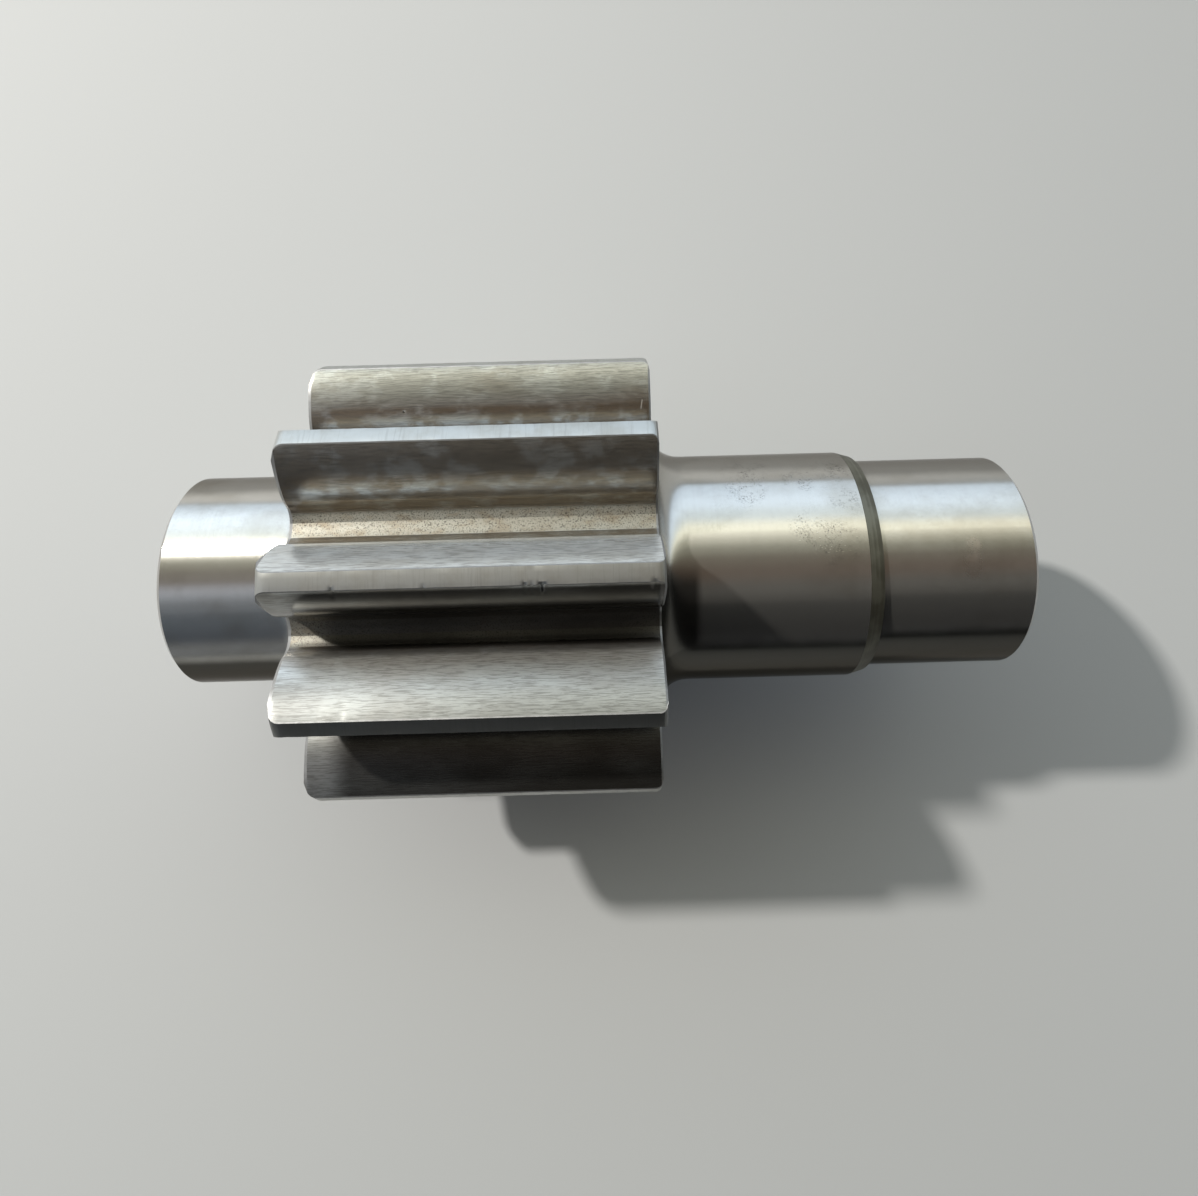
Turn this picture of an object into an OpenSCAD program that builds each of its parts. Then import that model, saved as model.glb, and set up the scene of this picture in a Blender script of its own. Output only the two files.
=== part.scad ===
/* [Teeth] */
// Number of teeth
teeth = 11; // [11:1:20]
// Module: pitch diameter carried by each tooth
tooth_module = 20; // [16:0.5:22]
// Pressure angle of the basic rack
pressure_angle = 20; // [20:0.5:22]
// Outward shift of the basic rack, in modules, which keeps the tooth feet from being undercut
profile_shift = 0.36; // [0.36:0.01:0.42]
// Height of a tooth above the shifted reference line, in modules
addendum = 0.94; // [0.8:0.02:1]
// Depth of the cutter below the reference line, in modules
dedendum = 1.25; // [1.1:0.01:1.25]
// Rounding of the cutter's tip, in modules
cutter_tip_round = 0.38; // [0.25:0.01:0.4]
// Length of the teeth along the shaft
face_width = 200; // [120:5:260]
// Rounding of the tooth tips at the left face
left_tip_round = 7; // [2:0.5:8]
// Rounding of the tooth tips at the right face
right_tip_round = 4; // [2:0.5:8]

/* [Journals] */
// Diameter of the left journal
left_journal_d = 130; // [90:1:140]
// Length of the left journal, from its end to the gear face
left_journal_length = 85; // [60:1:160]
// Radius of the fillet where the left journal meets the gear face
left_fillet = 16; // [6:1:18]
// Diameter of the right journal
right_journal_d = 130; // [90:1:134]
// Length of the right journal, from the collar to its end
right_journal_length = 90; // [50:1:160]
// Size of the chamfers at the two ends of the shaft
end_chamfer = 2.5; // [1:0.5:5]

/* [Collar] */
// Diameter of the collar
collar_d = 142; // [138:1:144]
// Length of the collar, from the gear face to the right journal
collar_length = 128; // [80:1:180]
// Length of the chamfer on the collar's right rim
collar_chamfer_length = 8.5; // [4:0.5:14]
// Depth of that chamfer, short of the shoulder down to the right journal
collar_chamfer_depth = 2.5; // [1:0.5:4]
// Radius of the fillet where the collar meets the gear face
collar_fillet = 20; // [8:1:20]

/* [Centre holes] */
// Diameter of the pilot hole in each end
pilot_d = 10; // [6:1:16]
// Depth of the pilot hole from the end face
pilot_depth = 26; // [20:1:40]
// Diameter of the 60 degree countersink at its mouth
centre_mouth_d = 21; // [18:1:30]

/* [Hidden] */
$fn = 128;

deg_per_rad = 180 / PI;
pitch_r = tooth_module * teeth / 2;
base_r = pitch_r * cos(pressure_angle);
tip_r = pitch_r + (addendum + profile_shift) * tooth_module;
root_r = pitch_r - (dedendum - profile_shift) * tooth_module;
space_pitch = 360 / teeth;

// The cutter's tip is an arc: its radius, the depth of its centre below the pitch line, and how far
// that centre lies from the middle of the cutter's tooth
tip_arc_r = cutter_tip_round * tooth_module;
tip_arc_depth = (dedendum - profile_shift) * tooth_module - tip_arc_r;
tip_arc_offset = PI * tooth_module / 4 - dedendum * tooth_module * tan(pressure_angle)
    - tip_arc_r * (1 - sin(pressure_angle)) / cos(pressure_angle);

// Steps along each half of a tooth space
foot_steps = 7;
flank_steps = 12;
tip_steps = 2;
fillet_steps = 6;
round_steps = 4;

left_face = -face_width / 2;
right_face = face_width / 2;
left_end = left_face - left_journal_length;
collar_end = right_face + collar_length;
right_end = collar_end + right_journal_length;
// The tooth prism runs past both faces, and the blank trims it to length
trim = 2;
countersink_angle = 30;
countersink_depth = (centre_mouth_d - pilot_d) / 2 / tan(countersink_angle);

// Involute function, in degrees
function involute(angle) = tan(angle) * deg_per_rad - angle;

tooth_half_at_pitch = (90 + 2 * profile_shift * tan(pressure_angle) * deg_per_rad) / teeth;

// Half of a tooth's angle at radius r, from its middle to its flank
function tooth_half(r) = tooth_half_at_pitch + involute(pressure_angle) - involute(acos(base_r / r));

function polar(r, angle) = [r * cos(angle), r * sin(angle)];

// One point of the foot curve that the cutter's rounded tip leaves, from the middle of the space:
// the cutter has rolled by t along the pitch line
function foot_point(t) =
    let (reach = norm([t, tip_arc_depth]),
         grow = 1 + tip_arc_r / reach,
         across = t * grow,
         up = pitch_r - tip_arc_depth * grow,
         angle = atan2(across, up) - (t - tip_arc_offset) / pitch_r * deg_per_rad)
    [norm([across, up]), angle];

foot_roll = tip_arc_depth / tan(pressure_angle);
foot = [for (i = [0 : foot_steps]) foot_point(foot_roll * i / foot_steps)];
foot_top_r = foot[foot_steps][0];

// The involute flank above the foot, each point as radius and angle from the middle of the space
flank = [for (i = [1 : flank_steps])
    let (r = foot_top_r + (tip_r - foot_top_r) * i / flank_steps)
    [r, space_pitch / 2 - tooth_half(r)]];

half_space = concat(foot, flank);
half_count = len(half_space);
tip_half = tooth_half(tip_r);

// The whole outline, space by space: down one flank, along the root, up the next and over the tip
gear_outline = [for (k = [0 : teeth - 1])
    let (middle = 90 + (k + 0.5) * space_pitch)
    each concat(
        [for (i = [half_count - 1 : -1 : 0]) polar(half_space[i][0], middle - half_space[i][1])],
        [for (i = [0 : half_count - 1]) polar(half_space[i][0], middle + half_space[i][1])],
        [for (i = [1 : tip_steps - 1])
            polar(tip_r, middle + space_pitch / 2 - tip_half + 2 * tip_half * i / tip_steps)])];

// Points of an arc in the half plane that is turned about the shaft's axis
function arc(centre, r, from, to, steps) =
    [for (i = [0 : steps]) centre + polar(r, from + (to - from) * i / steps)];

// Profiles are drawn as [radius, place along the shaft]
blank_profile = concat(
    [[0, left_face]],
    arc([tip_r - left_tip_round, left_face + left_tip_round], left_tip_round, -90, 0, round_steps),
    arc([tip_r - right_tip_round, right_face - right_tip_round], right_tip_round, 0, 90, round_steps),
    [[0, right_face]]);

shaft_profile = concat(
    [[0, left_end + pilot_depth],
     [pilot_d / 2, left_end + pilot_depth],
     [pilot_d / 2, left_end + countersink_depth],
     [centre_mouth_d / 2, left_end],
     [left_journal_d / 2 - end_chamfer, left_end],
     [left_journal_d / 2, left_end + end_chamfer]],
    arc([left_journal_d / 2 + left_fillet, left_face - left_fillet], left_fillet, 180, 90, fillet_steps),
    arc([collar_d / 2 + collar_fillet, right_face + collar_fillet], collar_fillet, 270, 180, fillet_steps),
    [[collar_d / 2, collar_end - collar_chamfer_length],
     [collar_d / 2 - collar_chamfer_depth, collar_end],
     [right_journal_d / 2, collar_end],
     [right_journal_d / 2, right_end - end_chamfer],
     [right_journal_d / 2 - end_chamfer, right_end],
     [centre_mouth_d / 2, right_end],
     [pilot_d / 2, right_end - countersink_depth],
     [pilot_d / 2, right_end - pilot_depth],
     [0, right_end - pilot_depth]]);

// Turns a shape's Z axis to the shaft's direction, X, and its Y axis to Z
module along_shaft() {
    rotate([90, 0, 90]) children();
}

// The turned parts of the shaft: both journals, the collar, the fillets and the centre holes
module turned_shaft() {
    rotate_extrude() polygon(shaft_profile);
}

// The cut teeth, trimmed by a blank whose rims are rounded
module toothed_section() {
    intersection() {
        translate([0, 0, left_face - trim])
            linear_extrude(height = face_width + 2 * trim) polygon(gear_outline);
        rotate_extrude() polygon(blank_profile);
    }
}

module pinion_shaft() {
    color([0.60, 0.59, 0.57])
        along_shaft() {
            union() {
                turned_shaft();
                toothed_section();
            }
        }
}

pinion_shaft();
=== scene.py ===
import math
import bpy
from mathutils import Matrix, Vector


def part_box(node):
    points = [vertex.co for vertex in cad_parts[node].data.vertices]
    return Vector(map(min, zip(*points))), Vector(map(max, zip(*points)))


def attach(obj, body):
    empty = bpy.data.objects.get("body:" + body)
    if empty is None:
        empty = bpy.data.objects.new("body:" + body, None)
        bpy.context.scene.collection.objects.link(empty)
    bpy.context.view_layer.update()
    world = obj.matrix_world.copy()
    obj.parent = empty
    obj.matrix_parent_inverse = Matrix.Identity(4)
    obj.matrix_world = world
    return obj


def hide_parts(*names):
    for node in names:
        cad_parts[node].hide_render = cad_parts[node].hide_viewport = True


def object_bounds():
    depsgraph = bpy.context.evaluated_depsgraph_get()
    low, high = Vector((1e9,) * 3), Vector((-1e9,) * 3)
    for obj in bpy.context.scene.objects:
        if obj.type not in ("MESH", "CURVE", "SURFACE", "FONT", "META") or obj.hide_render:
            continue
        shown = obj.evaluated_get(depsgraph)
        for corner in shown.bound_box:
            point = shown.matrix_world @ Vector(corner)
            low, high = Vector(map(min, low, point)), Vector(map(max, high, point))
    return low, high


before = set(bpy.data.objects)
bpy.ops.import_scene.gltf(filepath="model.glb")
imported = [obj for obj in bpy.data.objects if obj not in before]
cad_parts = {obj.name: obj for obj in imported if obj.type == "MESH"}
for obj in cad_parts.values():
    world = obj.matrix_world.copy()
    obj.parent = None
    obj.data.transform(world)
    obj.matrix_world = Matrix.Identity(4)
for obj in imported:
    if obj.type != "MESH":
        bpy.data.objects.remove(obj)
cadLow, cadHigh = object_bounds()
shaftLow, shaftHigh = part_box("pinion_shaft")
mm = 0.001
print("frame loaded")


class Wire:
    # A socket in a formula: each operation on it adds one Math node to its tree
    def __init__(self, tree, socket):
        self.tree = tree
        self.socket = socket

    def math(self, operation, *others):
        node = self.tree.nodes.new("ShaderNodeMath")
        node.operation = operation
        for slot, value in zip(node.inputs, (self, *others)):
            plug(self.tree, value, slot)
        return Wire(self.tree, node.outputs[0])

    def __add__(self, other):
        return self.math("ADD", other)

    def __radd__(self, other):
        return self.math("ADD", other)

    def __sub__(self, other):
        return self.math("SUBTRACT", other)

    def __rsub__(self, other):
        return self.math("MULTIPLY", -1.0) + other

    def __mul__(self, other):
        return self.math("MULTIPLY", other)

    def __rmul__(self, other):
        return self.math("MULTIPLY", other)

    def __truediv__(self, other):
        return self.math("DIVIDE", other)

    def __rtruediv__(self, other):
        return self.math("POWER", -1.0) * other

    def root(self):
        return self.math("SQRT")

    def clamped(self):
        return self.math("MAXIMUM", 0.0).math("MINIMUM", 1.0)

    def over(self, limit):
        # 1 where this is greater than the limit, and 0 elsewhere
        return self.math("GREATER_THAN", limit)


def plug(tree, value, slot):
    if isinstance(value, Wire):
        tree.links.new(value.socket, slot)
    elif isinstance(value, bpy.types.NodeSocket):
        tree.links.new(value, slot)
    else:
        slot.default_value = value


def addNode(tree, kind, settings=None, **inputs):
    # A node with its settings and inputs. An underscore in an input's name stands for a space
    node = tree.nodes.new(kind)
    for name, value in (settings or {}).items():
        setattr(node, name, value)
    for name, value in inputs.items():
        plug(tree, value, node.inputs[name.replace("_", " ")])
    return node


def pick(condition, yes, no):
    return no + (yes - no) * condition


# The turned shape of the shaft, in millimetres
shaft = {
    "faceWidth": 200,
    "journalRadius": 65,
    "collarRadius": 71,
    "collarLength": 128,
    "collarChamferLength": 8.5,
    "collarChamferDepth": 2.5,
    "leftFillet": 16,
    "collarFillet": 20,
    "filletSteps": 10,
    "endChamfer": 2.5,
    "pilotRadius": 5,
    "pilotDepth": 26,
    "mouthRadius": 10.5,
    "countersinkAngle": 30,
    "leftRim": 7,
    "rightRim": 4,
    # The bevels along the tooth ends, high up and at the roots
    "leftBevel": 1.2,
    "rightBevel": 1.2,
    "leftRootBevel": 1.0,
    "rightRootBevel": 0.3,
    # The rings of a rounded rim, in degrees from its full height, and the spacing of those between the rims
    "rimAngles": [47, 30, 14, 0],
    "ringSpacing": 3.0,
    # Small dents along one edge of the top tooth: place along the shaft, half width and depth
    "dents": [(-61, 1.6, 0.5), (-17, 1.4, 0.4), (31.5, 1.6, 0.7),
              (34.8, 1.4, 0.5), (40, 2.8, 1.2), (94, 2.5, 0.6)],
    # The stretches that hold them, which need closer rings: from, to and spacing
    "dentedStretches": [(-64, -58, 1.0), (-20, -14, 1.0), (29, 44, 0.8), (90, 96, 0.9)],
}

# What lies between one ring of the shaft and the next, numbered as the finishes are
turnedStrip = 0
toothStrip = 1
bevelStrip = 3
gearFaceStrip = 4
endFaceStrip = 5
coarseStrip = 6


def shaftRings(size, leftEnd, rightEnd, tipRadius):
    # The rings that the surface is strung on, from the bottom of the left centre hole to the right one's
    rings = []

    def ring(x, radius, strip=turnedStrip, toothed=0, tip=tipRadius, bevel=0, rootBevel=0):
        dent = max(depth * max(0, 1 - abs(x - middle) / width) for middle, width, depth in size["dents"])
        rings.append({
            "place": (x, 0, radius),
            "strip": strip,
            "toothed": toothed,
            "tip": tip,
            "bevel": bevel,
            "rootBevel": rootBevel,
            "dent": dent,
        })

    def arc(x, radius, bend, start, end, strip):
        for step in range(size["filletSteps"] + 1):
            angle = math.radians(start + (end - start) * step / size["filletSteps"])
            last = step == size["filletSteps"]
            ring(x + bend * math.cos(angle), radius + bend * math.sin(angle), strip if last else turnedStrip)

    def centreHole(end, inward):
        slope = math.tan(math.radians(size["countersinkAngle"]))
        countersink = (size["mouthRadius"] - size["pilotRadius"]) / slope
        hole = [(end + inward * size["pilotDepth"], 0),
                (end + inward * size["pilotDepth"], size["pilotRadius"]),
                (end + inward * countersink, size["pilotRadius"]),
                (end, size["mouthRadius"]),
                (end, size["journalRadius"] - size["endChamfer"])]
        for x, radius in hole if inward > 0 else reversed(hole):
            ring(x, radius, endFaceStrip)

    def rim(face, inward, rimRound, bevel, rootBevel):
        # From the face, where the edges are bevelled, to where the tips reach their full height
        made = [(face, tipRadius - rimRound, bevel, rootBevel)]
        for degrees in size["rimAngles"]:
            angle = math.radians(degrees)
            made.append((face + inward * rimRound * (1 - math.sin(angle)),
                         tipRadius - rimRound * (1 - math.cos(angle)), 0, 0))
        for step, (x, tip, bevelHere, rootHere) in enumerate(made if inward > 0 else made[::-1]):
            bevelNext = step == 0 if inward > 0 else step == len(made) - 2
            strip = bevelStrip if bevelNext else toothStrip
            if inward < 0 and step == len(made) - 1:
                strip = gearFaceStrip
            ring(x, 0, strip, 1, tip, bevelHere, rootHere)

    leftFace = -size["faceWidth"] / 2
    rightFace = size["faceWidth"] / 2
    journal = size["journalRadius"]
    collar = size["collarRadius"]
    centreHole(leftEnd, 1)
    ring(leftEnd + size["endChamfer"], journal)
    leftFillet = size["leftFillet"]
    arc(leftFace - leftFillet, journal + leftFillet, leftFillet, -90, 0, gearFaceStrip)
    rim(leftFace, 1, size["leftRim"], size["leftBevel"], size["leftRootBevel"])
    stops = [(leftFace + size["leftRim"], size["ringSpacing"])]
    for start, end, spacing in size["dentedStretches"]:
        stops += [(start, spacing), (end, size["ringSpacing"])]
    stops.append((rightFace - size["rightRim"], 0))
    for (start, spacing), (end, _) in zip(stops, stops[1:]):
        count = max(1, round((end - start) / spacing))
        for step in range(count):
            if start + step > leftFace + size["leftRim"]:
                ring(start + (end - start) * step / count, 0, toothStrip, 1)
    rim(rightFace, -1, size["rightRim"], size["rightBevel"], size["rightRootBevel"])
    collarFillet = size["collarFillet"]
    arc(rightFace + collarFillet, collar + collarFillet, collarFillet, 180, 270, turnedStrip)
    collarEnd = rightFace + size["collarLength"]
    ring(collarEnd - size["collarChamferLength"], collar, coarseStrip)
    ring(collarEnd, collar - size["collarChamferDepth"], coarseStrip)
    ring(collarEnd, journal)
    ring(rightEnd - size["endChamfer"], journal, endFaceStrip)
    centreHole(rightEnd, -1)
    return rings


def ringMesh(name, rings):
    # The rings as points of a mesh that carry their values to the node tree, in metres
    scales = {"strip": 1, "toothed": 1, "tip": mm, "bevel": mm, "rootBevel": mm, "dent": mm}
    mesh = bpy.data.meshes.new(name)
    mesh.from_pydata([[mm * value for value in ring["place"]] for ring in rings], [], [])
    for key, scale in scales.items():
        attribute = mesh.attributes.new(key, "FLOAT", "POINT")
        attribute.data.foreach_set("value", [scale * ring[key] for ring in rings])
    return mesh


# The teeth, which the node tree works out from the cutter's sizes: each is a named input of the tree
teeth = {
    "Teeth": 11,
    "Module": 20 * mm,
    "Pressure Angle": math.radians(20),
    "Profile Shift": 0.36,
    "Dedendum": 1.25,
    "Cutter Round": 0.38,
    "Foot Steps": 8,
    "Flank Steps": 14,
    "Land Steps": 3,
    "Edge Break": 0.55 * mm,
    "Edge Wear": 0.16 * mm,
    "Wear Seed": 7.0,
}

# How the edges of the teeth are finished
toothEdges = {
    # The bevels at the tooth ends widen over this height above the root, and narrow again to a share of
    # their width over the last steps below the tip
    "bevelRise": 8 * mm,
    "bevelAtTip": 0.25,
    "bevelTipSteps": 3,
    # The wear of the tips: how fine it is, the noise that it starts from, and how steeply it grows
    "wearScale": 160.0,
    "wearFrom": 0.45,
    "wearGain": 4,
    # Edges sharper than this stay creased
    "creaseAngle": math.radians(16),
    "mergeDistance": 1e-6,
}


def gearTree(name, sizes, edges, finishes):
    tree = bpy.data.node_groups.new(name, "GeometryNodeTree")
    socketKinds = {int: "NodeSocketInt", float: "NodeSocketFloat"}
    tree.interface.new_socket("Geometry", in_out="INPUT", socket_type="NodeSocketGeometry")
    for label, value in sizes.items():
        tree.interface.new_socket(label, in_out="INPUT", socket_type=socketKinds[type(value)])
    for label in finishes:
        tree.interface.new_socket(label, in_out="INPUT", socket_type="NodeSocketMaterial")
    tree.interface.new_socket("Geometry", in_out="OUTPUT", socket_type="NodeSocketGeometry")
    given = tree.nodes.new("NodeGroupInput")
    rings = given.outputs["Geometry"]

    def size(label):
        return Wire(tree, given.outputs[label])

    def ringValue(label, ring):
        named = addNode(tree, "GeometryNodeInputNamedAttribute", {"data_type": "FLOAT"}, Name=label)
        sample = addNode(tree, "GeometryNodeSampleIndex", {"data_type": "FLOAT", "domain": "POINT"},
                         Geometry=rings, Value=named.outputs["Attribute"], Index=ring)
        return Wire(tree, sample.outputs["Value"])

    def separate(vector):
        parts = addNode(tree, "ShaderNodeSeparateXYZ", Vector=vector)
        return [Wire(tree, output) for output in parts.outputs]

    def join(x, y, z):
        return addNode(tree, "ShaderNodeCombineXYZ", X=x, Y=y, Z=z).outputs[0]

    def steps(index, around, pitchSteps):
        # Ring, step round it, and step within one tooth space, counted from the middle of the space
        ring = (index / around).math("FLOOR")
        step = index - ring * around
        return ring, step, step.math("MODULO", pitchSteps)

    index = Wire(tree, tree.nodes.new("GeometryNodeInputIndex").outputs[0])
    footEnd = size("Foot Steps") + 1
    flankEnd = footEnd + size("Flank Steps")
    halfSteps = flankEnd + 1 + size("Land Steps")
    pitchSteps = halfSteps * 2
    around = size("Teeth") * pitchSteps
    ring, step, local = steps(index, around + 1, pitchSteps)
    half = local.math("MINIMUM", pitchSteps - local)
    tipRadius = ringValue("tip", ring)

    # The basic rack
    module = size("Module")
    pressure = size("Pressure Angle")
    pitchRadius = module * size("Teeth") / 2
    baseRadius = pitchRadius * pressure.math("COSINE")
    depth = (size("Dedendum") - size("Profile Shift")) * module
    rootRadius = pitchRadius - depth
    cutterRadius = size("Cutter Round") * module
    cutterDepth = depth - cutterRadius
    cutterOffset = (module * (math.pi / 4) - size("Dedendum") * module * pressure.math("TANGENT")
                    - cutterRadius * (1 - pressure.math("SINE")) / pressure.math("COSINE"))

    # The foot: the curve that the cutter's rounded tip leaves
    footShare = ((half - 1) / size("Foot Steps")).clamped()
    roll = footShare * cutterDepth / pressure.math("TANGENT")
    reach = (roll * roll + cutterDepth * cutterDepth).root()
    grow = cutterRadius / reach + 1
    across = roll * grow
    up = pitchRadius - cutterDepth * grow
    footRadius = (across * across + up * up).root()
    footAngle = across.math("ARCTAN2", up) - (roll - cutterOffset) / pitchRadius

    # The flank: an involute, evenly stepped in the tangent of its own pressure angle
    halfPitch = math.pi / size("Teeth")
    toothHalf = (size("Profile Shift") * 2 * pressure.math("TANGENT") + math.pi / 2) / size("Teeth")
    involute = pressure.math("TANGENT") - pressure
    flankStart = halfPitch - toothHalf - involute
    topRatio = (tipRadius - size("Edge Break")) / baseRadius
    topTangent = (topRatio * topRatio - 1).root()
    tangent = ((half - footEnd) / size("Flank Steps")).clamped() * topTangent
    flankRadius = baseRadius * (tangent * tangent + 1).root()
    flankAngle = flankStart + tangent - tangent.math("ARCTANGENT")

    # The land: the turned top of the tooth, between two broken edges
    landStart = flankStart + topTangent - topTangent.math("ARCTANGENT") + size("Edge Break") / tipRadius
    landShare = ((half - flankEnd - 1) / size("Land Steps")).clamped()
    landAngle = landStart + (halfPitch - landStart) * landShare

    onLand = half.over(flankEnd + 0.5)
    onFlank = half.over(footEnd + 0.5)
    outlineRadius = pick(onLand, tipRadius, pick(onFlank, flankRadius, footRadius))
    outlineAngle = pick(onLand, landAngle, pick(onFlank, flankAngle, footAngle * half.math("MINIMUM", 1)))
    spacesBefore = (step / pitchSteps).math("FLOOR") - 0.5
    withinSpace = pick(local.over(halfSteps), halfPitch * 2 - outlineAngle, outlineAngle)
    angle = spacesBefore * halfPitch * 2 + withinSpace

    # Every ring is strung with the same points, on the outline or on a circle
    counted = addNode(tree, "GeometryNodeAttributeDomainSize", {"component": "MESH"}, Geometry=rings)
    grid = addNode(tree, "GeometryNodeMeshGrid", Vertices_X=counted.outputs["Point Count"],
                   Vertices_Y=around + 1)
    place = tree.nodes.new("GeometryNodeInputPosition").outputs[0]
    onRing = addNode(tree, "GeometryNodeSampleIndex", {"data_type": "FLOAT_VECTOR", "domain": "POINT"},
                     Geometry=rings, Value=place, Index=ring)
    ringX, _, plainRadius = separate(onRing.outputs["Value"])
    radius = pick(ringValue("toothed", ring), outlineRadius, plainRadius)
    strung = addNode(tree, "GeometryNodeSetPosition", Geometry=grid.outputs["Mesh"],
                     Position=join(ringX, radius * angle.math("SINE"), radius * angle.math("COSINE")))

    # The bevels round the tooth ends and the wear of the tips move points inwards, square to the outline
    def neighbour(shift):
        there = ring * (around + 1) + (step + around + shift).math("MODULO", around)
        found = addNode(tree, "GeometryNodeFieldAtIndex", {"data_type": "FLOAT_VECTOR", "domain": "POINT"},
                        Index=there, Value=place)
        return separate(found.outputs["Value"])

    nextPlace = neighbour(1)
    lastPlace = neighbour(-1)
    alongY = nextPlace[1] - lastPlace[1]
    alongZ = nextPlace[2] - lastPlace[2]
    span = (alongY * alongY + alongZ * alongZ).root().math("MAXIMUM", 1e-9)
    aboveRoot = ((outlineRadius - rootRadius) / edges["bevelRise"]).clamped()
    rootBevel = ringValue("rootBevel", ring)
    atTip = edges["bevelAtTip"]
    belowTip = ((flankEnd - half) / edges["bevelTipSteps"]).clamped() * (1 - atTip) + atTip
    bevel = (rootBevel + (ringValue("bevel", ring) - rootBevel) * aboveRoot) * belowTip * (1 - onLand)
    nearTip = half.over(flankEnd - 0.5) * (flankEnd + 1.5).over(half) * ringValue("toothed", ring)
    wearNoise = addNode(tree, "ShaderNodeTexNoise", {"noise_dimensions": "4D"}, Vector=place,
                        W=size("Wear Seed"), Scale=edges["wearScale"], Detail=3.0)
    rubbed = (Wire(tree, wearNoise.outputs[0]) - edges["wearFrom"]).math("MAXIMUM", 0)
    worn = rubbed * edges["wearGain"] * size("Edge Wear") * nearTip
    onDentedEdge = step.over(flankEnd - 0.5) * (flankEnd + 1.5).over(step) * ringValue("toothed", ring)
    inward = (bevel + worn + ringValue("dent", ring) * onDentedEdge) / span
    finished = addNode(tree, "GeometryNodeSetPosition", Geometry=strung.outputs[0],
                       Offset=join(0.0, alongZ * inward, alongY * inward * -1))

    # Each face's finish: the strip's own or, between the tooth rings, what the outline says, which is the
    # flank's number up to the tip, then the broken edge's for one step, and the land's
    faceRing, _, faceLocal = steps(index, around, pitchSteps)
    faceHalf = faceLocal.math("MINIMUM", pitchSteps - 1 - faceLocal)
    strip = ringValue("strip", faceRing)
    onTooth = strip.math("COMPARE", toothStrip, 0.1)
    toothFinish = faceHalf.over(flankEnd - 0.5) * 2 - faceHalf.over(flankEnd + 0.5) + 1
    stored = addNode(tree, "GeometryNodeStoreNamedAttribute", {"data_type": "FLOAT", "domain": "FACE"},
                     Geometry=finished.outputs[0], Name="finish", Value=pick(onTooth, toothFinish, strip))
    merged = addNode(tree, "GeometryNodeMergeByDistance", Geometry=stored.outputs[0],
                     Distance=edges["mergeDistance"])
    smooth = addNode(tree, "GeometryNodeSetShadeSmooth", {"domain": "FACE"}, Geometry=merged.outputs[0])
    edgeAngle = Wire(tree, tree.nodes.new("GeometryNodeInputMeshEdgeAngle").outputs["Unsigned Angle"])
    creased = addNode(tree, "GeometryNodeSetShadeSmooth", {"domain": "EDGE"}, Geometry=smooth.outputs[0],
                      Selection=edgeAngle.over(edges["creaseAngle"]), Shade_Smooth=False)
    made = addNode(tree, "GeometryNodeRealizeInstances", Geometry=creased.outputs[0])
    finish = addNode(tree, "GeometryNodeInputNamedAttribute", {"data_type": "FLOAT"}, Name="finish")
    for number, label in enumerate(finishes):
        chosen = Wire(tree, finish.outputs["Attribute"]).math("COMPARE", float(number), 0.1)
        made = addNode(tree, "GeometryNodeSetMaterial", Geometry=made.outputs[0], Selection=chosen,
                       Material=given.outputs[label])
    result = tree.nodes.new("NodeGroupOutput")
    tree.links.new(made.outputs[0], result.inputs["Geometry"])
    return tree


def makePinion(finishes):
    rings = shaftRings(shaft, shaftLow.x / mm, shaftHigh.x / mm, shaftHigh.z / mm)
    blank = bpy.data.objects.new("pinionBlank", ringMesh("pinionBlank", rings))
    bpy.context.scene.collection.objects.link(blank)
    tree = gearTree("pinionTree", teeth, toothEdges, finishes)
    modifier = blank.modifiers.new("teeth", "NODES")
    modifier.node_group = tree
    for item in tree.interface.items_tree:
        if item.in_out == "INPUT" and item.name in teeth:
            modifier[item.identifier] = teeth[item.name]
        if item.in_out == "INPUT" and item.name in finishes:
            modifier[item.identifier] = finishes[item.name]
    bpy.context.view_layer.update()
    evaluated = blank.evaluated_get(bpy.context.evaluated_depsgraph_get())
    mesh = bpy.data.meshes.new_from_object(evaluated)
    blank.modifiers.remove(modifier)
    bpy.data.objects.remove(blank)
    pinion = bpy.data.objects.new("pinion", mesh)
    bpy.context.scene.collection.objects.link(pinion)
    return pinion


# Materials

# Which way the marks of a brushed surface run, as the shader's share of a full turn
alongShaft = 0.0
acrossShaft = 0.25


def newMaterial(name):
    material = bpy.data.materials.new(name)
    material.use_nodes = True
    tree = material.node_tree
    shader = tree.nodes["Principled BSDF"]
    return material, tree, shader


def stretched(tree, scale, shift=(0, 0, 0)):
    # Object coordinates, so many times denser along each axis
    coordinates = tree.nodes.new("ShaderNodeTexCoord").outputs["Object"]
    mapping = addNode(tree, "ShaderNodeMapping", Vector=coordinates, Scale=scale, Location=shift)
    return mapping.outputs[0]


def noise(tree, scale, detail=3.0, rough=0.5, distortion=0.0, shift=(0, 0, 0)):
    # The scale says how many features there are to a metre, along the shaft, across it and up
    node = addNode(tree, "ShaderNodeTexNoise", Vector=stretched(tree, scale, shift), Scale=1.0, Detail=detail,
                   Roughness=rough, Distortion=distortion)
    return Wire(tree, node.outputs[0])


def ringNoise(tree, radius, scale, detail):
    # Noise that changes only with the distance from the shaft's axis
    node = addNode(tree, "ShaderNodeTexNoise", {"noise_dimensions": "1D"}, W=radius, Scale=scale,
                   Detail=detail)
    return Wire(tree, node.outputs[0])


def between(value, low, high):
    # 0 below low, 1 above high, and a smooth rise from one to the other
    node = addNode(value.tree, "ShaderNodeMapRange", {"interpolation_type": "SMOOTHSTEP"}, Value=value,
                   From_Min=low, From_Max=high)
    return Wire(value.tree, node.outputs[0])


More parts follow.
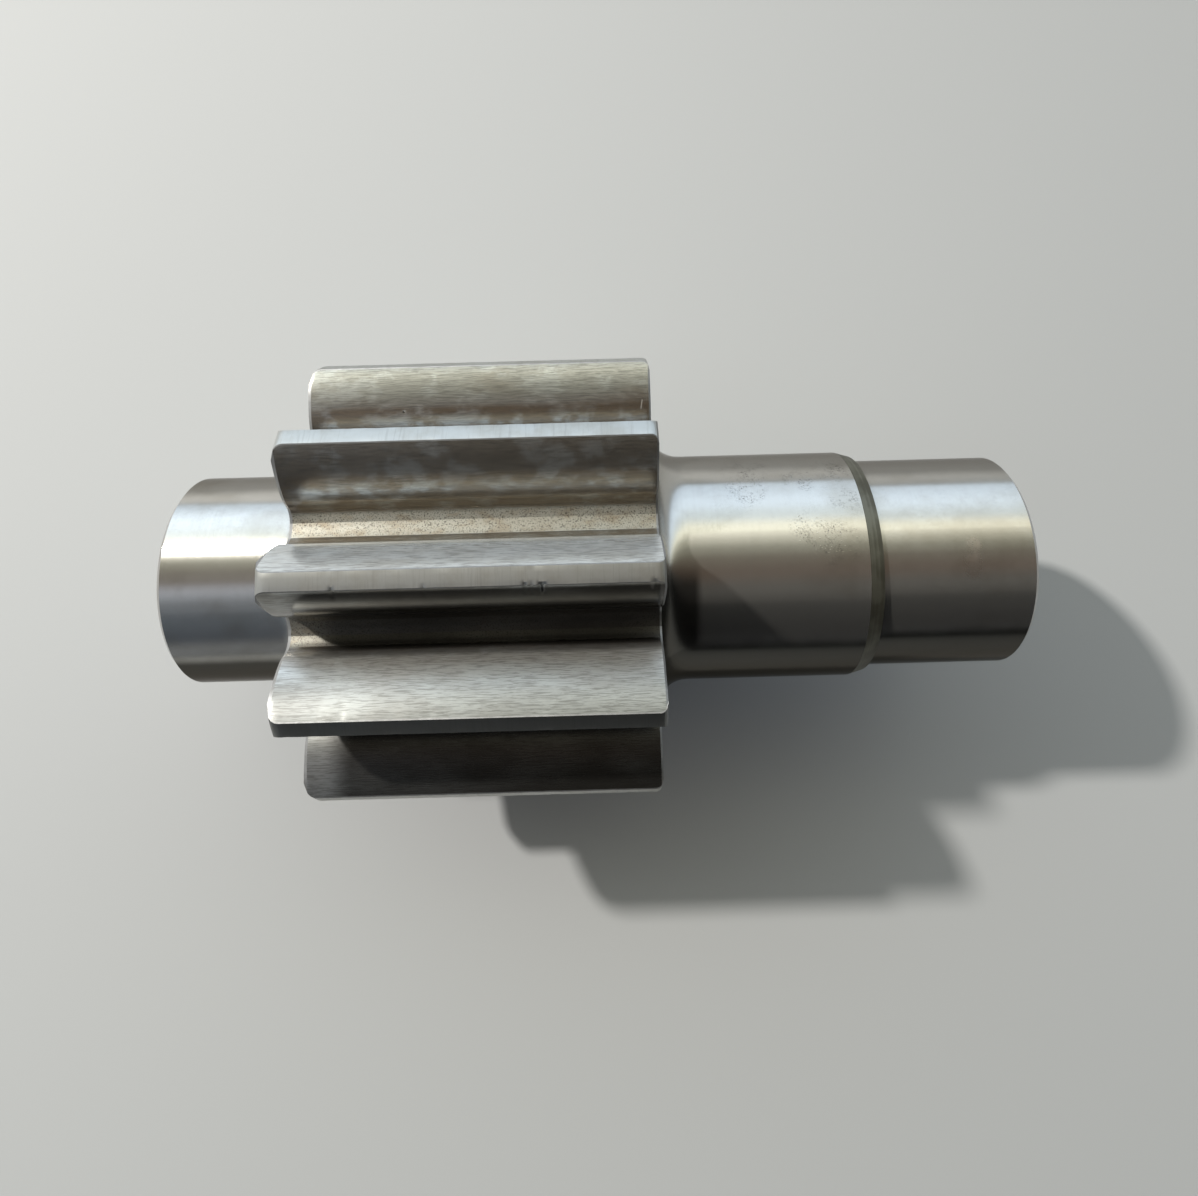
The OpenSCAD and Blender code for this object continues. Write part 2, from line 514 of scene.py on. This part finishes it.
def blend(tree, share, first, second):
    node = addNode(tree, "ShaderNodeMix", {"data_type": "RGBA"})
    plug(tree, share, node.inputs[0])
    plug(tree, first, node.inputs[6])
    plug(tree, second, node.inputs[7])
    return node.outputs[2]


def grey(level, warmth=0.0):
    return (level * (1 + warmth), level, level * (1 - warmth), 1)


def bumpFrom(tree, shader, height, strength, distance):
    node = addNode(tree, "ShaderNodeBump", Height=height, Strength=strength, Distance=distance)
    tree.links.new(node.outputs[0], shader.inputs["Normal"])


def polar(tree):
    # How far a point lies from the shaft's axis, and its angle from overhead, in degrees
    coordinates = tree.nodes.new("ShaderNodeTexCoord").outputs["Object"]
    parts = addNode(tree, "ShaderNodeSeparateXYZ", Vector=coordinates)
    y = Wire(tree, parts.outputs[1])
    z = Wire(tree, parts.outputs[2])
    return (y * y + z * z).root(), y.math("ARCTAN2", z).math("DEGREES")


def along(tree):
    # How far a point lies towards the collar, in millimetres from the middle of the teeth
    coordinates = tree.nodes.new("ShaderNodeTexCoord").outputs["Object"]
    return Wire(tree, addNode(tree, "ShaderNodeSeparateXYZ", Vector=coordinates).outputs[0]) / mm


def within(value, low, high, soft):
    # 1 between low and high, falling to 0 over a soft margin outside them
    return between(value, low - soft, low) * (1 - between(value, high, high + soft))


def brushed(tree, shader, amount, turn):
    shader.inputs["Anisotropic"].default_value = amount
    shader.inputs["Anisotropic Rotation"].default_value = turn
    tangent = addNode(tree, "ShaderNodeTangent", {"direction_type": "RADIAL", "axis": "X"})
    tree.links.new(tangent.outputs[0], shader.inputs["Tangent"])


def spot(tree, place, size):
    # 1 round a place on the pinion, given in millimetres, and 0 from that size outwards
    coordinates = tree.nodes.new("ShaderNodeTexCoord").outputs["Object"]
    apart = addNode(tree, "ShaderNodeVectorMath", {"operation": "DISTANCE"})
    plug(tree, coordinates, apart.inputs[0])
    plug(tree, [mm * value for value in place], apart.inputs[1])
    return 1 - between(Wire(tree, apart.outputs["Value"]), size * mm * 0.3, size * mm)


def specks(tree, scale, share, size):
    # Small round specks, in that share of the cells
    node = addNode(tree, "ShaderNodeTexVoronoi", Vector=stretched(tree, (1, 1, 1)), Scale=scale)
    chance = addNode(tree, "ShaderNodeSeparateXYZ", Vector=node.outputs["Color"])
    chosen = Wire(tree, chance.outputs[0]).over(1 - share)
    return (1 - between(Wire(tree, node.outputs["Distance"]), size * 0.5, size)) * chosen


# The looks. dullFrom, paleFrom and their like hold two values of a noise, between which that mark comes in,
# and bump holds the strength and the depth of the relief
turnedLook = {
    "steel": (0.60, 0.585, 0.555, 1),
    "dull": (0.48, 0.455, 0.41, 1),
    "metallic": 0.93,
    # What is left of the mirroring at a glancing angle
    "glancing": (0.5, 0.48, 0.46, 1),
    "roughness": 0.12,
    "brushing": 0.85,
    # The noises, as noise() takes them: turning lines, wider bands and soft clouds
    "lines": ((1600, 8, 8),),
    "linesShare": 0.3,
    "bands": ((190, 3, 3),),
    "cloud": ((16, 22, 22), 5.0, 0.6),
    "dullFrom": (0.45, 0.7),
    "rust": (0.20, 0.11, 0.05, 1),
    "rustShare": 0.4,
    "blotches": ((220, 220, 220), 5.0, 0.7),
    "blotchesFrom": (0.25, 0.65),
    # The specks: their colour, how many there are to a metre, the share of them that shows and their size as
    # a share of their spacing, then the haze between the dark ones and the patches that both keep to
    "dark": (0.09, 0.08, 0.07, 1),
    "darkShare": 0.95,
    "darkSpecks": (900.0, 0.4, 0.42),
    "lightSpecks": (1150.0, 0.10, 0.45),
    "haze": ((900, 900, 900), 2.0, 0.6),
    "hazeFrom": (0.40, 0.65),
    "hazeShare": 0.35,
    "patches": ((150, 150, 150), 4.0, 0.65),
    "patchesFrom": (0.44, 0.57),
    # How much wider than its reach each place is speckled, and how thinly the specks lie elsewhere
    "speckledStretch": 1.6,
    "speckledElsewhere": 0.12,
    # Painted shade on the lower half of the turned steel, where it faces away from the light: its colour, the
    # angles from overhead where it starts on the near and the far side, its share on each, and how much lower
    # it starts on the left journal, in degrees
    "paintedLowShade": (0.08, 0.077, 0.07, 1),
    "paintedLowShadeFrom": (-34, 49),
    "paintedLowShadeShares": (0.97, 0.42),
    "paintedLowShadeSoft": 8,
    "paintedLowShadeLowerLeft": 8,
    # How ragged its upper edge is, in degrees
    "paintedLowShadeRagged": 6,
    # Where the painted shade reaches up beside the gear face, where shade falls by it, in millimetres along
    # the shaft and in degrees down from overhead, and its share there
    "paintedLowShadeBeside": (100, 120),
    "paintedLowShadeBesideBelow": (-5, 9),
    "paintedLowShadeBesideShare": 0.9,
    # Places of the specks and of the rust mark, in millimetres, and how far each reaches
    "speckled": [((157, 57, 42), 12), ((154, 44, 56), 10), ((187, 50, 50), 9), ((208, 56, 44), 10),
                 ((210, 36, 61), 8), ((200, 12, 70), 12), ((186, 20, 68), 9)],
    "stains": [((281, 8, 64.5), 6), ((280, 0, 65), 7), ((280, -6, 64.6), 6)],
    "bump": (0.25, 0.03 * mm),
}


def anyOf(tree, places, stretch, least):
    # How near a point is to the nearest of some places, from 0 to 1 or from a least value up
    found = least
    for place, reach in places:
        found = spot(tree, place, reach * stretch).math("MAXIMUM", found)
    return found


def lowerPaintedShade(tree, look, cloud):
    # How strongly the painted shade darkens the lower half and the steel beside the gear face
    _, angle = polar(tree)
    near, far = look["paintedLowShadeFrom"]
    nearShare, farShare = look["paintedLowShadeShares"]
    soft = look["paintedLowShadeSoft"]
    ragged = (cloud - 0.5) * look["paintedLowShadeRagged"]
    leftward = (-1 * along(tree)).over(shaft["faceWidth"] / 2) * look["paintedLowShadeLowerLeft"]
    low = between(ragged - angle - leftward, -near, soft - near) * nearShare
    low = low.math("MAXIMUM", between(angle + ragged, far, far + soft) * farShare)
    beside = within(along(tree), *look["paintedLowShadeBeside"], 6) * between(-1 * angle, *look["paintedLowShadeBesideBelow"])
    return low.math("MAXIMUM", beside * look["paintedLowShadeBesideShare"])


def turnedSteel(look):
    material, tree, shader = newMaterial("turnedSteel")
    shader.inputs["Metallic"].default_value = look["metallic"]
    shader.inputs["Specular Tint"].default_value = look["glancing"]
    lines = noise(tree, *look["lines"])
    bands = noise(tree, *look["bands"])
    cloud = noise(tree, *look["cloud"])
    colour = blend(tree, between(cloud, *look["dullFrom"]), look["steel"], look["dull"])
    colour = blend(tree, lines * look["linesShare"], colour, look["dull"])
    freckled = anyOf(tree, look["speckled"], look["speckledStretch"], look["speckledElsewhere"])
    blotches = between(noise(tree, *look["blotches"]), *look["blotchesFrom"])
    stained = anyOf(tree, look["stains"], 1, 0.0) * blotches
    patches = between(noise(tree, *look["patches"]), *look["patchesFrom"])
    haze = between(noise(tree, *look["haze"]), *look["hazeFrom"]) * look["hazeShare"]
    dark = specks(tree, *look["darkSpecks"]).math("MAXIMUM", haze) * patches * freckled
    light = specks(tree, *look["lightSpecks"]) * freckled
    colour = blend(tree, stained * look["rustShare"], colour, look["rust"])
    colour = blend(tree, dark * look["darkShare"], colour, look["dark"])
    # Painted shade: the lower half and the steel beside the gear face are darkened
    colour = blend(tree, lowerPaintedShade(tree, look, cloud), colour, look["paintedLowShade"])
    plug(tree, colour, shader.inputs["Base Color"])
    plug(tree, lines * 0.05 + bands * 0.06 + cloud * 0.06 + stained * 0.2 + look["roughness"],
         shader.inputs["Roughness"])
    brushed(tree, shader, look["brushing"], acrossShaft)
    bumpFrom(tree, shader, lines * 0.5 + bands * 0.5 + light * 6 - dark * 4, *look["bump"])
    return material


chamferLook = {
    "steel": (0.15, 0.145, 0.115, 1),
    "dull": (0.085, 0.08, 0.06, 1),
    "metallic": 0.75,
    "roughness": 0.4,
    "grooves": ((900, 5, 5), 3.0, 0.6),
    "cloud": ((60, 60, 60), 4.0),
    "dullFrom": (0.6, 0.9),
    "bump": (0.5, 0.15 * mm),
}


def coarseSteel(look):
    # The collar's chamfer, left as the tool cut it
    material, tree, shader = newMaterial("coarseSteel")
    shader.inputs["Metallic"].default_value = look["metallic"]
    grooves = noise(tree, *look["grooves"])
    cloud = noise(tree, *look["cloud"])
    dull = between(cloud + grooves * 0.5, *look["dullFrom"])
    plug(tree, blend(tree, dull, look["steel"], look["dull"]), shader.inputs["Base Color"])
    plug(tree, grooves * 0.15 + look["roughness"], shader.inputs["Roughness"])
    bumpFrom(tree, shader, grooves, *look["bump"])
    return material


flankLook = {
    "steel": (0.40, 0.395, 0.37, 1),
    "pale": (0.49, 0.495, 0.48, 1),
    "metallic": 0.84,
    "roughness": 0.13,
    "brushing": 0.2,
    # The noises, as noise() takes them
    "grain": ((110, 1900, 1900), 4.0, 0.6, 0.5),
    "waves": ((60, 800, 800), 3.0, 0.5, 0.8),
    "mottle": ((55, 75, 75), 4.0, 0.6),
    "broad": ((14, 30, 30), 3.0, 0.5, 0.0, (5, 2, 9)),
    "grit": ((1300, 1300, 1300), 3.0, 0.7),
    "rust": ((90, 160, 160), 5.0, 0.65, 0.0, (3, 7, 1)),
    # Where those noises bring out the pale patches, the broad brown ones and the dark grooves of the grain
    "paleFrom": (0.48, 0.60),
    "brownFrom": (0.45, 0.66),
    "brownShare": 0.55,
    "groove": (0.11, 0.105, 0.095, 1),
    "grooveFrom": (0.46, 0.60),
    "grooveShare": 0.48,
    # Where the flanks are browned and darkened, partly a brown tone and partly painted shade on flanks out of
    # the light: from and to, in degrees from overhead, and how strongly
    "brown": (0.25, 0.205, 0.155, 1),
    "brownedAndShaded": [(20, 25.5, 1.3), (25.5, 33, 0.85), (54, 56.6, 1.5), (-23.2, -18, 1.3)],
    # The satin side of each tooth, which is worn and also painted paler as a sheen where it faces the light:
    # its place within the tooth's pitch, the heights over the foot between which it begins, its share near
    # the top of the shaft, where the painted sheen weakens further down, in degrees, and by how much
    "satinAndPaintedSheen": (0.62, 0.655, 0.68, 1),
    "satinAndPaintedSheenSide": (0.53, 0.95),
    "satinAndPaintedSheenAbove": (-1, 3),
    "satinAndPaintedSheenShare": 0.9,
    "satinAndPaintedSheenWeakens": (14, 18),
    "satinAndPaintedSheenLoss": 0.45,
    # Painted shade that darkens one flank towards its tip, against the highlight there, in degrees from
    # overhead, its share there, and what is added towards the left end, where the highlight is strongest, in
    # millimetres along the shaft
    "paintedTipShade": (-32, -27),
    "paintedTipShadeShare": 0.36,
    "paintedTipShadeLeft": (60, 100),
    "paintedTipShadeLeftShare": 0.32,
    # Where the foot curve begins, how far the cutter's scored lines reach above and below it, in millimetres,
    # and how many lines there are to a metre
    "footRadius": 97.7,
    "scoredHeight": 2.6,
    "scoredLines": 2600.0,
    "scoredShare": 0.8,
    # The heights over the foot between which the rust above the root fades, and those for the root's scale
    "rustedTo": (1, 7),
    "rustedShare": 0.55,
    "scaledTo": (-1.4, -0.2),
    "scaledShare": 0.85,
    "rootScale": (0.33, 0.32, 0.275, 1),
    "rootRust": (0.24, 0.20, 0.145, 1),
    "rootGrit": (0.05, 0.043, 0.035, 1),
    # The back of the top tooth is clean down to this angle from overhead, in degrees
    "cleanTo": 13.9,
    # Painted shade on the flanks and roots that lie in shade: from and to, in degrees from overhead, where it
    # thickens along the shaft, in millimetres, how thin it is before that, near the lit left ends, and its
    # least and greatest share
    "paintedShade": (0.035, 0.032, 0.028, 1),
    "paintedShaded": [(-22.0, -2.8), (-74, -48)],
    "paintedShadeThickens": (-90, -72),
    "paintedShadeThin": 0.4,
    "paintedShadeShares": (0.83, 0.95),
    # The pit and the ends of the scratch, in millimetres, and their sizes
    "pit": (-44, 94.5, 62.3),
    "pitSize": 1.1,
    "scratch": (0.85, 0.85, 0.82, 1),
    "scratchFrom": (94.9, 97.7, 62.8),
    "scratchTo": (94.2, 93.2, 62.1),
    "scratchSize": 0.5,
    "scratchSteps": 8,
    "bump": (0.45, 0.12 * mm),
}


def satinAndPaintedSheenSide(look, aboveFoot, angle):
    # One side of each tooth has worn to a satin, and its paler colour is also a painted sheen, strongest near
    # the top of the shaft, where the light falls
    side = (angle * teeth["Teeth"] / 360 + teeth["Teeth"] + 0.5).math("FRACT")
    satinAndPaintedSheen = within(side, *look["satinAndPaintedSheenSide"], 0.03) * between(aboveFoot, *look["satinAndPaintedSheenAbove"])
    return satinAndPaintedSheen * (look["satinAndPaintedSheenShare"] - between(-1 * angle, *look["satinAndPaintedSheenWeakens"]) * look["satinAndPaintedSheenLoss"])


# Painted shade on the flanks and roots out of the light, thinner towards the left end, where light reaches
def paintedFlankShade(tree, look, angle, broad):
    paintedShade = 0.0
    for start, end in look["paintedShaded"]:
        paintedShade = within(angle, start, end, 0.8).math("MAXIMUM", paintedShade)
    thick = pick(between(along(tree), *look["paintedShadeThickens"]), 1, look["paintedShadeThin"])
    least, greatest = look["paintedShadeShares"]
    return paintedShade * thick * pick(between(broad, 0.3, 0.6), greatest, least)


def scratchMark(tree, look):
    steps = look["scratchSteps"]
    mark = 0.0
    for step in range(steps + 1):
        place = Vector(look["scratchFrom"]).lerp(Vector(look["scratchTo"]), step / steps)
        mark = spot(tree, place, look["scratchSize"]).math("MAXIMUM", mark)
    return mark


def cutFlank(look):
    material, tree, shader = newMaterial("cutFlank")
    radius, angle = polar(tree)
    aboveFoot = radius / mm - look["footRadius"]
    grain = noise(tree, *look["grain"])
    waves = noise(tree, *look["waves"])
    mottle = noise(tree, *look["mottle"])
    broad = noise(tree, *look["broad"])
    grit = noise(tree, *look["grit"])
    rust = noise(tree, *look["rust"])

    # The steel, its lighter and browner patches, the brown tone and painted shade by angle, the satin with
    # its painted sheen and the grain
    colour = blend(tree, between(mottle, *look["paleFrom"]), look["steel"], look["pale"])
    colour = blend(tree, between(broad, *look["brownFrom"]) * look["brownShare"], colour, look["brown"])
    tint = 0.75 - between(mottle, 0.45, 0.65) * 0.5
    # Brown tone and painted shade on the flanks between these angles
    for start, end, strength in look["brownedAndShaded"]:
        colour = blend(tree, within(angle, start, end, 1) * tint * strength, colour, look["brown"])
    satinAndPaintedSheen = satinAndPaintedSheenSide(look, aboveFoot, angle)
    # Worn satin with a painted sheen, paler on the flank sides facing the light
    colour = blend(tree, satinAndPaintedSheen * (1 - between(mottle, 0.4, 0.6) * 0.3), colour, look["satinAndPaintedSheen"])
    colour = blend(tree, between(grain, *look["grooveFrom"]) * look["grooveShare"], colour, look["groove"])

    # The root: rust above it, scale and grit in it, and the cutter's scored lines at its edge
    low = 1 - between(aboveFoot, *look["rustedTo"])
    colour = blend(tree, low * between(rust, 0.35, 0.6) * look["rustedShare"], colour, look["brown"])
    scale = blend(tree, between(rust, 0.45, 0.75), look["rootScale"], look["rootRust"])
    scale = blend(tree, between(grit, 0.54, 0.60), scale, look["rootGrit"])
    clean = (1 - between(angle, look["cleanTo"] - 0.5, look["cleanTo"] + 0.5)) * angle.over(0)
    atRoot = (1 - between(aboveFoot, *look["scaledTo"])) * (1 - clean)
    colour = blend(tree, atRoot * look["scaledShare"], colour, scale)
    nearFoot = (1 - aboveFoot.math("ABSOLUTE") / look["scoredHeight"]).clamped()
    scored = between(ringNoise(tree, radius, look["scoredLines"], 2.0), 0.5, 0.6)
    scored = scored * nearFoot * between(grain, 0.3, 0.5)
    colour = blend(tree, scored * look["scoredShare"], colour, look["groove"])

    # The painted shade on the shaded flanks and roots, the painted shade at one flank's tip, the pit and the
    # scratch
    paintedShade = paintedFlankShade(tree, look, angle, broad)
    # Painted shade on one flank towards its tip, stronger towards the left end
    leftPaintedTipShade = between(-1 * along(tree), *look["paintedTipShadeLeft"]) * look["paintedTipShadeLeftShare"]
    paintedTipShade = within(angle, *look["paintedTipShade"], 4) * (leftPaintedTipShade + look["paintedTipShadeShare"])
    colour = blend(tree, paintedShade.math("MAXIMUM", paintedTipShade), colour, look["paintedShade"])
    pit = spot(tree, look["pit"], look["pitSize"])
    colour = blend(tree, pit, colour, look["rootGrit"])
    colour = blend(tree, scratchMark(tree, look), colour, look["scratch"])
    plug(tree, colour, shader.inputs["Base Color"])

    plug(tree, look["metallic"] - atRoot * 0.25 - satinAndPaintedSheen * 0.2, shader.inputs["Metallic"])
    lowSatin = satinAndPaintedSheen * between(-1 * angle, *look["satinAndPaintedSheenWeakens"]) * 0.3
    plug(tree, grain * 0.08 + broad * 0.08 + atRoot * 0.25 + lowSatin - paintedShade * 0.08 + look["roughness"],
         shader.inputs["Roughness"])
    brushed(tree, shader, look["brushing"], alongShaft)
    relief = grain * 0.4 + waves * 0.15 - scored * 0.8 + grit * (atRoot * 1.4 + 0.05) - pit * 3
    bumpFrom(tree, shader, relief, *look["bump"])
    return material


landLook = {
    "steel": (0.45, 0.455, 0.44, 1),
    "dull": (0.39, 0.385, 0.36, 1),
    "metallic": 0.96,
    "roughness": 0.36,
    "brushing": 0.45,
    "mark": (0.30, 0.295, 0.28, 1),
    "marks": ((900, 40, 40), 3.0, 0.6),
    "marksFrom": (0.5, 0.7),
    "marksShare": 0.4,
    "cloud": ((60, 60, 60), 5.0, 0.6),
    "dullFrom": (0.42, 0.68),
    # Painted shade on the land between these angles, which faces away from the light: from and to, in degrees
    # from overhead
    "paintedShade": (0.12, 0.12, 0.115, 1),
    "paintedShaded": (-37, -28),
    "paintedShadeShare": 0.75,
    "bump": (0.35, 0.05 * mm),
}


def turnedLand(look):
    material, tree, shader = newMaterial("turnedLand")
    shader.inputs["Metallic"].default_value = look["metallic"]
    marks = noise(tree, *look["marks"])
    cloud = noise(tree, *look["cloud"])
    colour = blend(tree, between(cloud, *look["dullFrom"]), look["steel"], look["dull"])
    colour = blend(tree, between(marks, *look["marksFrom"]) * look["marksShare"], colour, look["mark"])
    _, angle = polar(tree)
    # Painted shade on the land between these angles
    start, end = look["paintedShaded"]
    paintedShade = angle.over(start) * (1 - angle.over(end)) * look["paintedShadeShare"]
    plug(tree, blend(tree, paintedShade, colour, look["paintedShade"]), shader.inputs["Base Color"])
    plug(tree, marks * 0.08 + cloud * 0.08 + look["roughness"], shader.inputs["Roughness"])
    brushed(tree, shader, look["brushing"], acrossShaft)
    bumpFrom(tree, shader, marks, *look["bump"])
    return material


edgeLook = {
    "rubbed": grey(0.38),
    "dull": grey(0.22, 0.02),
    "metallic": 1.0,
    "roughness": 0.5,
    "rub": ((400, 400, 400),),
    "bump": (0.3, 0.1 * mm),
}


def brokenEdge(look):
    material, tree, shader = newMaterial("brokenEdge")
    shader.inputs["Metallic"].default_value = look["metallic"]
    rub = noise(tree, *look["rub"])
    plug(tree, blend(tree, rub, look["rubbed"], look["dull"]), shader.inputs["Base Color"])
    plug(tree, rub * 0.15 + look["roughness"], shader.inputs["Roughness"])
    bumpFrom(tree, shader, rub, *look["bump"])
    return material


facedLook = {
    # How bright each face's steel is, and what share of that its duller patches and its darker rings have
    "levels": {"gearFace": 0.56, "endFace": 0.62},
    "dullerBy": 0.8,
    "darkerBy": 0.65,
    "metallic": 1.0,
    "roughness": 0.28,
    # How many rings there are to a metre, and their detail
    "rings": (900.0, 3.0),
    "ringsShare": 0.4,
    "cloud": ((30, 30, 30), 4.0),
    "dullFrom": (0.4, 0.7),
    "bump": (0.4, 0.05 * mm),
}


def facedSteel(name, look):
    # A face that was turned across, with rings round the shaft's axis
    material, tree, shader = newMaterial(name)
    shader.inputs["Metallic"].default_value = look["metallic"]
    level = look["levels"][name]
    radius, _ = polar(tree)
    rings = ringNoise(tree, radius, *look["rings"])
    cloud = noise(tree, *look["cloud"])
    dull = between(cloud, *look["dullFrom"])
    colour = blend(tree, dull, grey(level, 0.01), grey(level * look["dullerBy"], 0.05))
    colour = blend(tree, rings * look["ringsShare"], colour, grey(level * look["darkerBy"], 0.03))
    plug(tree, colour, shader.inputs["Base Color"])
    plug(tree, rings * 0.12 + cloud * 0.1 + look["roughness"], shader.inputs["Roughness"])
    bumpFrom(tree, shader, rings, *look["bump"])
    return material


# Floor, light and camera

studio = {
    "floorSize": 16.0,
    "floorColour": (0.45, 0.455, 0.46, 1),
    "floorRoughness": 0.9,
    "floorSpecular": 0.1,
    # The key light: its direction from the shaft, its distance and diameter in metres, and its power
    "keyDirection": (-0.60, 0.45, 0.66),
    "keyDistance": 3.0,
    "keySize": 0.16,
    "keyPower": 105.0,
    "keyColour": (1.0, 0.97, 0.91),
    # Angle from overhead towards the back of the shaft, in degrees, and what is seen there
    "sweep": [
        (-150, (0.01, 0.01, 0.01)),
        (-105, (0.015, 0.016, 0.019)),
        (-86, (0.012, 0.013, 0.015)),
        (-66, (0.007, 0.007, 0.008)),
        (-44, (0.012, 0.012, 0.012)),
        (-24, (0.09, 0.085, 0.077)),
        (-6, (0.12, 0.087, 0.064)),
        (6, (0.15, 0.125, 0.092)),
        (16, (0.29, 0.285, 0.22)),
        (26, (0.62, 0.62, 0.50)),
        (37, (1.6, 1.6, 1.33)),
        (52, (1.08, 1.24, 1.32)),
        (66, (1.25, 1.48, 1.72)),
        (86, (1.0, 1.2, 1.42)),
        (104, (0.3, 0.33, 0.36)),
    ],
    # What is added towards the left end of the shaft
    "leftSweep": [
        (-140, (0.01, 0.01, 0.012)),
        (-112, (0.02, 0.022, 0.027)),
        (-96, (0.16, 0.17, 0.19)),
        (-82, (0.25, 0.27, 0.29)),
        (-66, (0.05, 0.072, 0.105)),
        (-46, (0.07, 0.10, 0.14)),
        (-28, (0.13, 0.17, 0.23)),
        (-13, (0.42, 0.49, 0.60)),
        (0, (0.10, 0.11, 0.12)),
        (16, (0.03, 0.03, 0.03)),
        (27, (0.0, 0.0, 0.0)),
        (38, (0.45, 0.46, 0.42)),
        (70, (0.5, 0.55, 0.6)),
        (88, (0.0, 0.0, 0.0)),
    ],
    # How far to the left a direction has to point for that to begin and to be whole, as the X of a unit
    # vector, and how much stronger the whole sweep is there
    "leftFrom": 0.1,
    "leftTo": 0.55,
    "leftLift": 0.05,
    # A plain wall of light past the left end, which takes over between these
    "wallColour": (0.50, 0.52, 0.53),
    "wallFrom": 0.72,
    "wallTo": 0.88,
}


def colourByAngle(tree, turn, stops):
    # A ramp of colours over the angle round the shaft, which the turn holds as 0 to 1 for -180 to 180 degrees
    ramp = tree.nodes.new("ShaderNodeValToRGB")
    ramp.color_ramp.interpolation = "EASE"
    elements = ramp.color_ramp.elements
    for number, (angle, colour) in enumerate(stops):
        stop = elements[number] if number < 2 else elements.new(1.0)
        stop.position = angle / 360 + 0.5
        stop.color = (*colour, 1)
    plug(tree, turn, ramp.inputs[0])
    return ramp.outputs[0]


def makeFloor(size):
    side = size["floorSize"] / 2
    level = cadLow.z
    mesh = bpy.data.meshes.new("paleFloor")
    mesh.from_pydata([(-side, -side, level), (side, -side, level), (side, side, level), (-side, side, level)],
                     [], [(0, 1, 2, 3)])
    material, tree, shader = newMaterial("paleFloor")
    shader.inputs["Base Color"].default_value = size["floorColour"]
    shader.inputs["Roughness"].default_value = size["floorRoughness"]
    shader.inputs["Specular IOR Level"].default_value = size["floorSpecular"]
    mesh.materials.append(material)
    floor = bpy.data.objects.new("paleFloor", mesh)
    bpy.context.scene.collection.objects.link(floor)


def makeWorld(size):
    world = bpy.data.worlds.new("studio")
    world.use_nodes = True
    tree = world.node_tree
    background = tree.nodes["Background"]
    direction = tree.nodes.new("ShaderNodeTexCoord").outputs["Generated"]
    parts = addNode(tree, "ShaderNodeSeparateXYZ", Vector=direction)
    x = Wire(tree, parts.outputs[0])
    y = Wire(tree, parts.outputs[1])
    z = Wire(tree, parts.outputs[2])
    turn = y.math("ARCTAN2", z) / (2 * math.pi) + 0.5
    plug(tree, colourByAngle(tree, turn, size["sweep"]), background.inputs["Color"])
    onWall = between(-1 * x, size["wallFrom"], size["wallTo"])
    plug(tree, 1 - x * size["leftLift"], background.inputs["Strength"])
    glow = addNode(tree, "ShaderNodeBackground", Color=colourByAngle(tree, turn, size["leftSweep"]),
                   Strength=between(-1 * x, size["leftFrom"], size["leftTo"]))
    wall = addNode(tree, "ShaderNodeBackground", Color=(*size["wallColour"], 1))
    sweep = tree.nodes.new("ShaderNodeAddShader")
    plug(tree, background.outputs[0], sweep.inputs[0])
    plug(tree, glow.outputs[0], sweep.inputs[1])
    whole = tree.nodes.new("ShaderNodeMixShader")
    plug(tree, onWall, whole.inputs[0])
    plug(tree, sweep.outputs[0], whole.inputs[1])
    plug(tree, wall.outputs[0], whole.inputs[2])
    plug(tree, whole.outputs[0], tree.nodes["World Output"].inputs["Surface"])
    bpy.context.scene.world = world


def makeKey(size):
    direction = Vector(size["keyDirection"]).normalized()
    lamp = bpy.data.lights.new("key", "AREA")
    lamp.shape = "DISK"
    lamp.size = size["keySize"]
    lamp.energy = size["keyPower"]
    lamp.color = size["keyColour"]
    key = bpy.data.objects.new("key", lamp)
    key.location = direction * size["keyDistance"]
    key.rotation_euler = direction.to_track_quat("Z", "Y").to_euler()
    bpy.context.scene.collection.objects.link(key)


# The photograph's view: the picture's size, the focal length and the optical centre, all in pixels, then the
# camera's place and its rotation in degrees
photoView = {
    "width": 1198,
    "height": 1196,
    "focal": 788.8,
    "centreX": 599,
    "centreY": 470,
    "place": (68.02 * mm, 9.54 * mm, 515.96 * mm),
    "turn": (6.03, 0.077, -1.553),
    "sensorWidth": 36,
}


def makeCamera(view):
    data = bpy.data.cameras.new("camera")
    data.sensor_width = view["sensorWidth"]
    data.sensor_fit = "HORIZONTAL"
    data.lens = data.sensor_width * view["focal"] / view["width"]
    data.shift_x = (view["width"] / 2 - view["centreX"]) / view["width"]
    data.shift_y = (view["centreY"] - view["height"] / 2) / view["width"]
    data.clip_start = 10 * mm
    camera = bpy.data.objects.new("camera", data)
    camera.location = view["place"]
    camera.rotation_euler = [math.radians(angle) for angle in view["turn"]]
    bpy.context.scene.collection.objects.link(camera)
    bpy.context.scene.camera = camera


makeCamera(photoView)
makeWorld(studio)
makeKey(studio)
makeFloor(studio)
bpy.context.scene.view_settings.view_transform = "Standard"
print("studio set")

pinionFinishes = {
    "turned": turnedSteel(turnedLook),
    "flank": cutFlank(flankLook),
    "land": turnedLand(landLook),
    "edge": brokenEdge(edgeLook),
    "gear face": facedSteel("gearFace", facedLook),
    "end face": facedSteel("endFace", facedLook),
    "chamfer": coarseSteel(chamferLook),
}
print("finishes made")

pinion = makePinion(pinionFinishes)
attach(pinion, "root")
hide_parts("pinion_shaft")
print("pinion made:", len(pinion.data.polygons), "faces")
